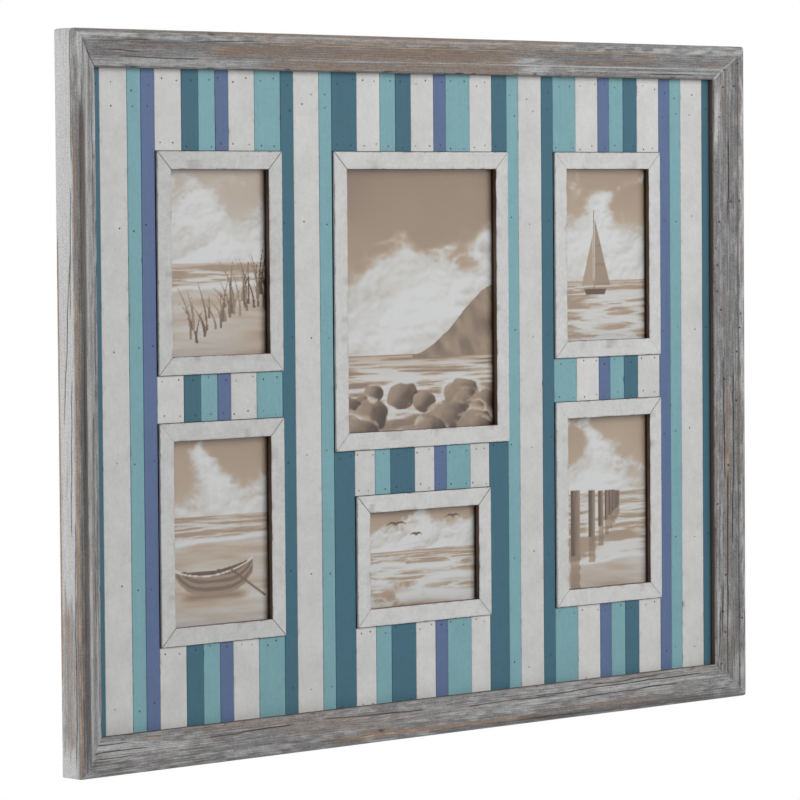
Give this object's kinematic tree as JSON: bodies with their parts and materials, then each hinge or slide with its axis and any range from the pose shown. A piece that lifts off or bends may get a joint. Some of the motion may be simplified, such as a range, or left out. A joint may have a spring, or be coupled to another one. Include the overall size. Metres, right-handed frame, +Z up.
{
  "type": "collage photo frame",
  "caption": "Wall-hung collage photo frame: scooped grey wood moulding round a panel of painted slats with white-bezelled, glazed windows for standard prints, turn buttons and D-rings behind.",
  "frame": {"origin": "midpoint between the two wall hooks, on the wall plane", "axes": "+Z up, +Y into the wall, so the picture side faces -Y, and +X to the viewer's right"},
  "size_m": [0.8522, 0.0345, 0.6461],
  "materials": {
    "slat_white": "matte white paint, brushed and lightly worn",
    "slat_aqua": "matte aqua paint, brushed and lightly worn",
    "slat_teal": "matte teal paint, brushed and lightly worn",
    "slat_indigo": "matte indigo paint, brushed and lightly worn",
    "moulding_wood": "grey driftwood wash over brown wood",
    "bezel_white": "matte white paint",
    "glass": "clear float glass",
    "print_paper": "sepia prints",
    "backing_board": "brown hardboard",
    "panel_board": "raw fibreboard",
    "zinc_steel": "bright zinc plate",
    "bumper_rubber": "translucent grey rubber"
  },
  "bodies": {
    "frame": {"top_rail": "moulding_wood", "bottom_rail": "moulding_wood", "left_stile": "moulding_wood", "right_stile": "moulding_wood", "teal_slats_long": "slat_teal", "white_slats_long": "slat_white", "aqua_slats_long": "slat_aqua", "indigo_slats_long": "slat_indigo", "white_slats_short": "slat_white", "teal_slats_short": "slat_teal", "aqua_slats_short": "slat_aqua", "indigo_slats_short": "slat_indigo", "bezel_upper_left": "bezel_white", "glass_upper_left": "glass", "print_upper_left": "print_paper", "back_board_upper_left": "backing_board", "bezel_lower_left": "bezel_white", "glass_lower_left": "glass", "print_lower_left": "print_paper", "back_board_lower_left": "backing_board", "bezel_upper_right": "bezel_white", "glass_upper_right": "glass", "print_upper_right": "print_paper", "back_board_upper_right": "backing_board", "bezel_lower_right": "bezel_white", "glass_lower_right": "glass", "print_lower_right": "print_paper", "back_board_lower_right": "backing_board", "bezel_centre_large": "bezel_white", "glass_centre_large": "glass", "print_centre_large": "print_paper", "back_board_centre_large": "backing_board", "bezel_centre_small": "bezel_white", "glass_centre_small": "glass", "print_centre_small": "print_paper", "back_board_centre_small": "backing_board", "panel_board": "panel_board", "turn_button_screws": "zinc_steel", "hanger_straps": "zinc_steel", "hanger_screws": "zinc_steel", "corner_v_nails": "zinc_steel", "panel_points": "zinc_steel", "wall_bumpers": "bumper_rubber"},
    "button_upper_left_left": {"button_upper_left_left": "zinc_steel"},
    "button_upper_left_right": {"button_upper_left_right": "zinc_steel"},
    "button_lower_left_left": {"button_lower_left_left": "zinc_steel"},
    "button_lower_left_right": {"button_lower_left_right": "zinc_steel"},
    "button_upper_right_left": {"button_upper_right_left": "zinc_steel"},
    "button_upper_right_right": {"button_upper_right_right": "zinc_steel"},
    "button_lower_right_left": {"button_lower_right_left": "zinc_steel"},
    "button_lower_right_right": {"button_lower_right_right": "zinc_steel"},
    "button_centre_large_upper_left": {"button_centre_large_upper_left": "zinc_steel"},
    "button_centre_large_lower_left": {"button_centre_large_lower_left": "zinc_steel"},
    "button_centre_large_upper_right": {"button_centre_large_upper_right": "zinc_steel"},
    "button_centre_large_lower_right": {"button_centre_large_lower_right": "zinc_steel"},
    "button_centre_small_top": {"button_centre_small_top": "zinc_steel"},
    "button_centre_small_bottom": {"button_centre_small_bottom": "zinc_steel"},
    "hanger_ring_left": {"hanger_ring_left": "zinc_steel"},
    "hanger_ring_right": {"hanger_ring_right": "zinc_steel"}
  },
  "joints": [
    {"name": "button_upper_left_left_turn", "type": "hinge", "parent": "frame", "child": "button_upper_left_left", "pos_m": [-0.3211, -0.007, -0.0877], "axis": [0, 1, 0], "continuous": true},
    {"name": "button_upper_left_right_turn", "type": "hinge", "parent": "frame", "child": "button_upper_left_right", "pos_m": [-0.1741, -0.007, -0.0877], "axis": [0, 1, 0], "continuous": true},
    {"name": "button_lower_left_left_turn", "type": "hinge", "parent": "frame", "child": "button_lower_left_left", "pos_m": [-0.3211, -0.007, -0.327], "axis": [0, 1, 0], "continuous": true},
    {"name": "button_lower_left_right_turn", "type": "hinge", "parent": "frame", "child": "button_lower_left_right", "pos_m": [-0.1741, -0.007, -0.327], "axis": [0, 1, 0], "continuous": true},
    {"name": "button_upper_right_left_turn", "type": "hinge", "parent": "frame", "child": "button_upper_right_left", "pos_m": [0.1741, -0.007, -0.0877], "axis": [0, 1, 0], "continuous": true},
    {"name": "button_upper_right_right_turn", "type": "hinge", "parent": "frame", "child": "button_upper_right_right", "pos_m": [0.3211, -0.007, -0.0877], "axis": [0, 1, 0], "continuous": true},
    {"name": "button_lower_right_left_turn", "type": "hinge", "parent": "frame", "child": "button_lower_right_left", "pos_m": [0.1741, -0.007, -0.327], "axis": [0, 1, 0], "continuous": true},
    {"name": "button_lower_right_right_turn", "type": "hinge", "parent": "frame", "child": "button_lower_right_right", "pos_m": [0.3211, -0.007, -0.327], "axis": [0, 1, 0], "continuous": true},
    {"name": "button_centre_large_upper_left_turn", "type": "hinge", "parent": "frame", "child": "button_centre_large_upper_left", "pos_m": [-0.1116, -0.007, -0.0623], "axis": [0, 1, 0], "continuous": true},
    {"name": "button_centre_large_lower_left_turn", "type": "hinge", "parent": "frame", "child": "button_centre_large_lower_left", "pos_m": [-0.1116, -0.007, -0.1893], "axis": [0, 1, 0], "continuous": true},
    {"name": "button_centre_large_upper_right_turn", "type": "hinge", "parent": "frame", "child": "button_centre_large_upper_right", "pos_m": [0.1116, -0.007, -0.0623], "axis": [0, 1, 0], "continuous": true},
    {"name": "button_centre_large_lower_right_turn", "type": "hinge", "parent": "frame", "child": "button_centre_large_lower_right", "pos_m": [0.1116, -0.007, -0.1893], "axis": [0, 1, 0], "continuous": true},
    {"name": "button_centre_small_top_turn", "type": "hinge", "parent": "frame", "child": "button_centre_small_top", "pos_m": [0, -0.007, -0.3043], "axis": [0, 1, 0], "continuous": true},
    {"name": "button_centre_small_bottom_turn", "type": "hinge", "parent": "frame", "child": "button_centre_small_bottom", "pos_m": [0, -0.007, -0.4259], "axis": [0, 1, 0], "continuous": true},
    {"name": "hanger_ring_left_swing", "type": "hinge", "parent": "frame", "child": "hanger_ring_left", "pos_m": [-0.4128, -0.00235, -0.01425], "axis": [1, 0, 0], "range_deg": [0, 180]},
    {"name": "hanger_ring_right_swing", "type": "hinge", "parent": "frame", "child": "hanger_ring_right", "pos_m": [0.4128, -0.00235, -0.01425], "axis": [1, 0, 0], "range_deg": [0, 180]}
  ]
}
